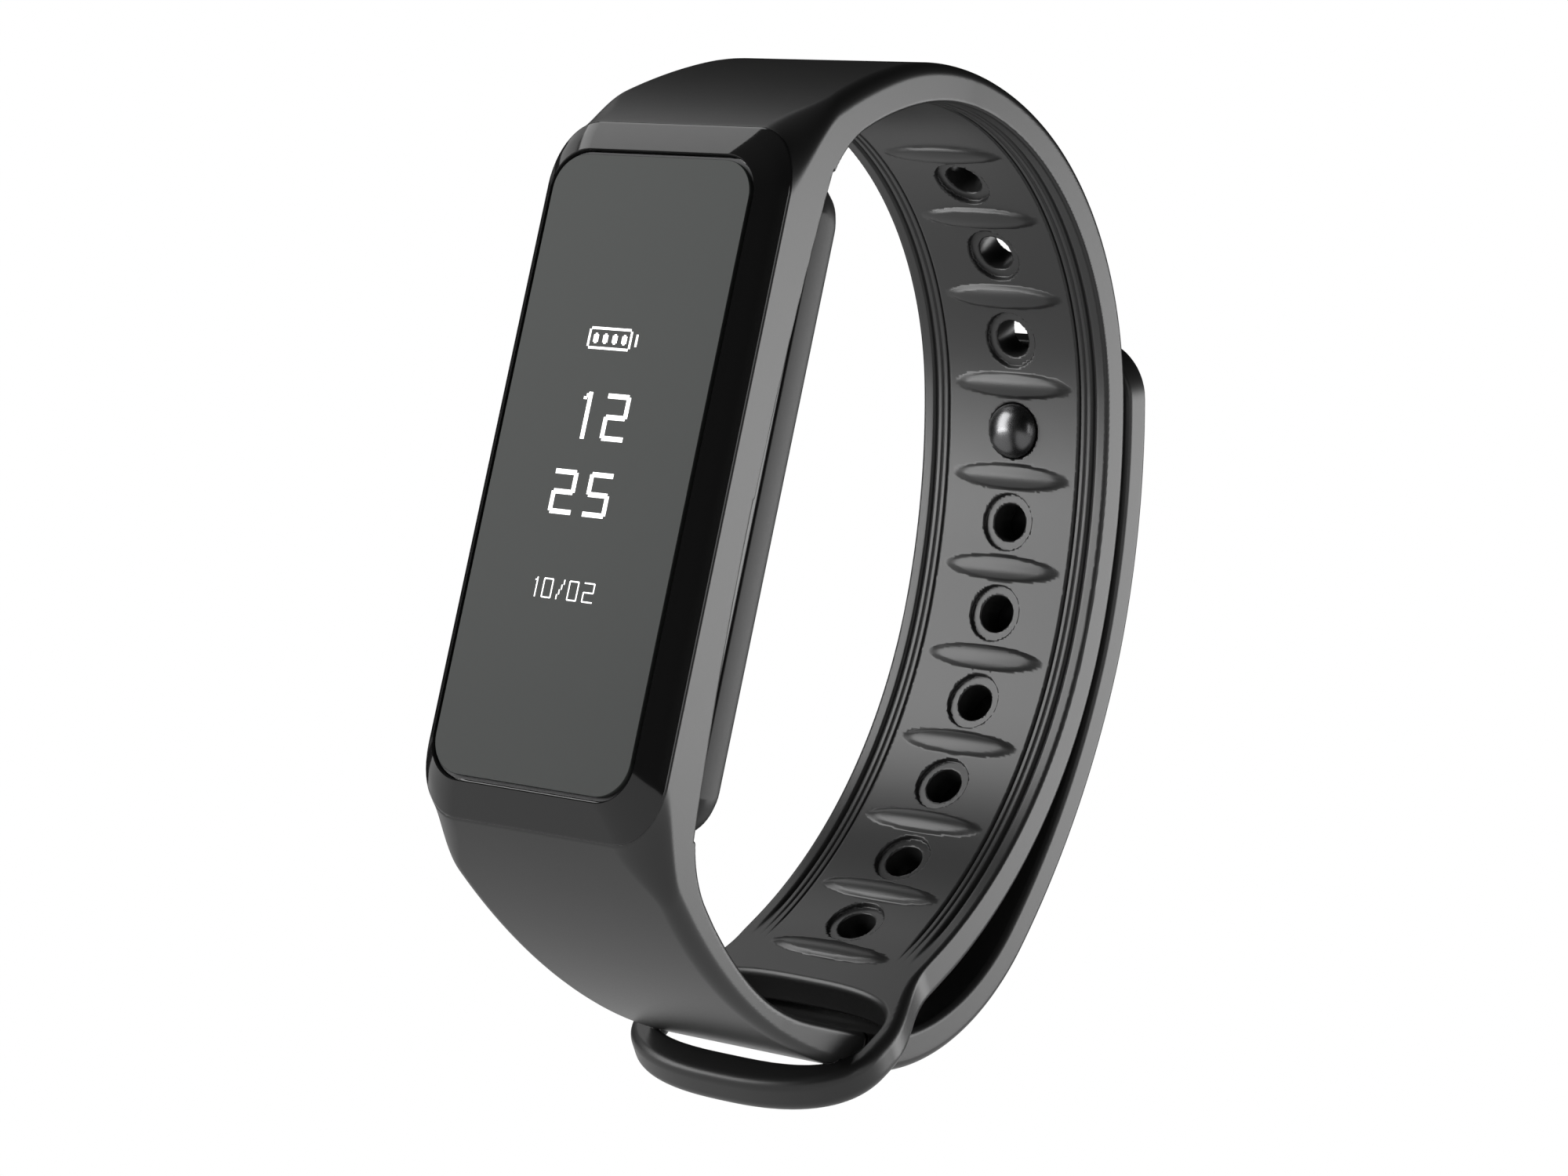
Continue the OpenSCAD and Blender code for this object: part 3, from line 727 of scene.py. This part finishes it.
def build_tracker():
    """The shell's four pieces. The housing runs round its lens opening, bevel, seam, body and hollow."""
    housing = loft("housing_skin", [
        (8.82, 22.2, 2.8, 2.8, 0.9), (8.84, 22.22, 2.84, 2.82, 0.1)] + bevel_loops() + [
        (10.54, 24.69, 3.5, 4.4, 1.79), (10.4, 24.5, 3.4, 4.3, 1.82), (9.3, 23.3, 3.0, 3.0, 1.82),
        (9.2, 23.2, 2.9, 2.9, 1.9), (9.2, 23.2, 2.9, 2.9, 6.7), (9.12, 23.12, 2.85, 2.85, 6.8),
        (8.1, 22.1, 1.8, 1.8, 6.8), (8.1, 22.1, 1.8, 1.8, 2.0), (7.7, 21.1, 1.7, 1.7, 2.0), (7.7, 21.1, 1.7, 1.7, 0.9)],
        HOUSING, close=True)
    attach(housing, "module")
    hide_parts("front_housing")
    lens = loft("lens_skin", [
        (8.57, 21.86, 2.57, 2.54, 0.76), (8.57, 21.86, 2.57, 2.54, 0.03),
        (8.55, 21.84, 2.56, 2.53, 0.01), (8.53, 21.82, 2.55, 2.52, 0.0)],
        LENS, cap=True)
    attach(lens, "module")
    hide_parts("display_lens")
    rim = loft("lens_gap", [(8.58, 21.87, 2.58, 2.55, 0.4), (8.79, 22.09, 2.77, 2.69, 0.4)], SLOTS["chip_black"])
    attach(rim, "module")
    back = loft("back_skin", [
        (9.1, 23.1, 2.8, 2.8, 7.05), (9.2, 23.2, 2.9, 2.9, 7.12), (9.2, 23.2, 2.95, 2.95, 8.2),
        (9.18, 23.15, 3.0, 3.0, 8.8), (9.1, 23.0, 3.1, 3.1, 9.3), (8.95, 22.7, 3.1, 3.1, 9.62),
        (8.7, 22.4, 3.0, 3.0, 9.84), (8.35, 22.0, 2.9, 2.9, 9.94), (7.9, 21.5, 2.7, 2.7, 9.97),
        (7.0, 20.6, 2.3, 2.3, 9.97)],
        BACK, cap=True)
    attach(back, "module")
    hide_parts("back_cover")


DOT = 0.1725  # one display pixel
PROUD = -0.012  # how far the strokes' faces stand in front of the lens, along Y


def bars(name, rects, material):
    """Flat strokes on the display, from (x, z, width, height) in display pixels."""
    verts, faces = [], []
    for x, z, w, h in rects:
        k = len(verts)
        verts += [(x, PROUD, z), (x + w, PROUD, z), (x + w, PROUD, z + h), (x, PROUD, z + h)]
        verts += [(x, 0.02, z), (x + w, 0.02, z), (x + w, 0.02, z + h), (x, 0.02, z + h)]
        faces += [[k, k + 1, k + 2, k + 3], [k, k + 4, k + 5, k + 1], [k + 1, k + 5, k + 6, k + 2],
                  [k + 2, k + 6, k + 7, k + 3], [k + 3, k + 7, k + 4, k], [k + 7, k + 6, k + 5, k + 4]]
    v = np.array(verts)
    v = np.stack([v[:, 0] * DOT, v[:, 1] + FACE, v[:, 2] * DOT], 1)
    obj = add_mesh(name, v, faces, material=material)
    obj.data.polygons.foreach_set("use_smooth", [False] * len(obj.data.polygons))
    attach(obj, "module")


# Which of the seven strokes each digit uses: top, upper left, upper right, middle, lower left, lower right, bottom.
STROKES = {"0": "1110111", "1": "0010010", "2": "1011101", "5": "1101011"}


def digit(d, x, z, w, h, t):
    """A digit's strokes in display pixels: its lower left corner, size and stroke width."""
    lit = [c == "1" for c in STROKES[d]]
    half = (h - t) / 2
    mid = z + half
    c = t / 2
    out = []
    if lit[0]:
        out.append((x + (c if lit[1] else 0), z + h - t, w - (c if lit[1] else 0) - (c if lit[2] else 0), t))
    if lit[3]:
        out.append((x + (c if lit[1] or lit[4] else 0), mid, w - 2 * c, t))
    if lit[6]:
        out.append((x + (c if lit[4] else 0), z, w - (c if lit[4] else 0) - (c if lit[5] else 0), t))
    if lit[1]:
        out.append((x, mid + c, t, half))
    if lit[2]:
        out.append((x + w - t, mid + c, t, half))
    if lit[4]:
        out.append((x, z + c, t, half))
    if lit[5]:
        out.append((x + w - t, z + c, t, half))
    return out


def build_display():
    """A battery mark, the hours over the minutes, and a small date."""
    left, low = -15.0, 47.6
    rects = [
        (left + 1, low, 20, 1), (left + 1, low + 8, 20, 1), (left, low + 1, 1, 7), (left + 21, low + 1, 1, 7),
        (left + 24, low + 2, 1, 5)]
    for k in range(4):
        rects += [(left + 2.7 + 4.8 * k, low + 2.9, 2.5, 3.0), (left + 3.4 + 4.8 * k, low + 2.3, 1.1, 4.2)]
    rects += [(-8.6, 11.3, 2, 19), (-9.6, 28.0, 1.2, 1.6), (-10.8, 27.2, 1.6, 1.2)]
    rects += digit("2", 1.3, 11.3, 11.6, 19, 2)
    rects += digit("2", -17.0, -19.4, 11.6, 18, 2)
    rects += digit("5", 0.6, -19.4, 11.6, 18, 2)
    bars("display_digits", rects, LIT)
    thin = 0.55
    base = -53.0
    small = [(-14.9, base, thin, 8), (-15.7, -46.4, 0.8, thin)]
    small += digit("0", -11.4, base, 5, 8, thin)
    small += [(-3.9 + 0.9 * k, base + 2 * k, thin, 2) for k in range(4)]
    small += digit("0", 1.6, base, 5, 8, thin)
    small += digit("2", 9.2, base, 5.4, 8, thin)
    bars("display_date", small, LIT)


def build_stud():
    """The stud's domed head on the wrist side with its stem, and the flat cap on the tail's outer side."""
    origin, axis = HOLED.point(STUD_S), HOLED.normal(STUD_S)
    dome = [math.radians(a) for a in range(6, 91, 6)]
    head = [(0, -1.45)] + [(2.15 * math.sin(a), 0.12 - 1.57 * math.cos(a)) for a in dome]
    head += [(2.1, 0.26), (1.9, 0.29), (1.35, 0.29), (1.2, 0.5), (1.2, LAYER + 2), (0, LAYER + 2)]
    pin = turned("stud_head", head, origin, axis, METAL)
    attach(pin, "tail_c")
    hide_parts("stud_pin")
    top = LAYER + 3.1
    cap = [(0, LAYER + 1.98), (3.2, LAYER + 1.98)] + arc(2.75, top - 0.45, 0.45, 0, 80, 6)
    cap += [(2.3, top - 0.02), (1.2, top), (0, top)]
    disc = turned("stud_disc", cap, origin, axis, METAL)
    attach(disc, "tail_c")
    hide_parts("stud_cap")


build_band()
build_tail()
build_tracker()
build_display()
build_stud()


# ---------------------------------------------------------------- stage, light and camera

def glare(nt, seen, lit):
    """A shader that the camera sees at one strength and that lights the object at another."""
    nodes = []
    kind = "ShaderNodeBackground" if nt.nodes.get("World Output") else "ShaderNodeEmission"
    for strength in (lit, seen):
        node = nt.nodes.new(kind)
        node.inputs["Strength"].default_value = strength
        node.inputs["Color"].default_value = (1, 1, 1, 1)
        nodes.append(node)
    path = nt.nodes.new("ShaderNodeLightPath")
    mix = nt.nodes.new("ShaderNodeMixShader")
    nt.links.new(path.outputs["Is Camera Ray"], mix.inputs[0])
    for k, node in enumerate(nodes):
        nt.links.new(node.outputs[0], mix.inputs[1 + k])
    out = nt.nodes.get("World Output") or nt.nodes.get("Material Output")
    nt.links.new(mix.outputs[0], out.inputs[0])


# In metres: the floor's radius, and how far each light is from the wrist opening's centre.
FLOOR_R = 0.16
LIGHT_FAR = 0.6


def build_stage():
    """A pale round floor under the band, the same tone as the background."""
    low = cad_box[0][2]
    angles = [math.radians(a) for a in range(0, 360, 4)]
    rim = [(FLOOR_R * math.cos(a), FLOOR_R * math.sin(a), low) for a in angles]
    floor = add_mesh("floor", np.array(rim), [list(range(len(rim)))], unit=1.0)
    pale = bpy.data.materials.new("floor_pale")
    pale.use_nodes = True
    glare(pale.node_tree, 1.0, 0.7)
    floor.data.materials.append(pale)


def softbox(name, azimuth, elevation, width, height, power):
    """An area light towards the middle; azimuth 0 is in front of the display and 90 is off its +X side."""
    a, e = math.radians(azimuth), math.radians(elevation)
    p = Vector((math.sin(a) * math.cos(e), -math.cos(a) * math.cos(e), math.sin(e))) * LIGHT_FAR
    data = bpy.data.lights.new(name, "AREA")
    data.shape = "RECTANGLE"
    data.size, data.size_y = width, height
    data.energy = power
    lamp = bpy.data.objects.new(name, data)
    lamp.location = p
    lamp.rotation_euler = (-p).to_track_quat("-Z", "Y").to_euler()
    bpy.context.collection.objects.link(lamp)


def build_light():
    """Soft lights for a black object: strong from the front left and the back right, and weak from the sides."""
    world = bpy.data.worlds.new("studio")
    bpy.context.scene.world = world
    world.use_nodes = True
    glare(world.node_tree, 1.0, 0.004)
    softbox("front_left", -41, 12, 0.36, 0.58, 3.9)
    softbox("front_low", -40, -19, 0.4, 0.16, 2.0)
    softbox("back_right", 147, 8, 0.42, 0.24, 1.35)
    softbox("right_strip", 71, 4, 0.1, 0.34, 0.24)
    softbox("right", 96, 0, 0.3, 0.3, 0.3)
    softbox("high_left", -93, 50, 0.17, 0.24, 0.22)
    softbox("left", -112, 8, 0.2, 0.2, 0.01)
    softbox("corner_left", -105, 31, 0.2, 0.2, 0.065)


def build_camera():
    """A long lens from the front right, a little below the band's middle, looking slightly upwards and rolled."""
    data = bpy.data.cameras.new("camera")
    data.sensor_width = 36.0
    data.lens = 92.0
    data.clip_start = 0.01
    data.clip_end = 20
    cam = bpy.data.objects.new("camera", data)
    forward = Vector((-0.59556, 0.79590, 0.10891)).normalized()
    right = Vector((0.79742, 0.56936, 0.19985)).normalized()
    up = right.cross(forward).normalized()
    right = forward.cross(up).normalized()
    m = Matrix((right, up, -forward)).transposed().to_4x4()
    m.translation = Vector((0.17231, -0.23721, -0.03473))
    cam.matrix_world = m
    bpy.context.collection.objects.link(cam)
    bpy.context.scene.camera = cam


build_stage()
build_light()
build_camera()
bpy.context.scene.view_settings.view_transform = "Standard"
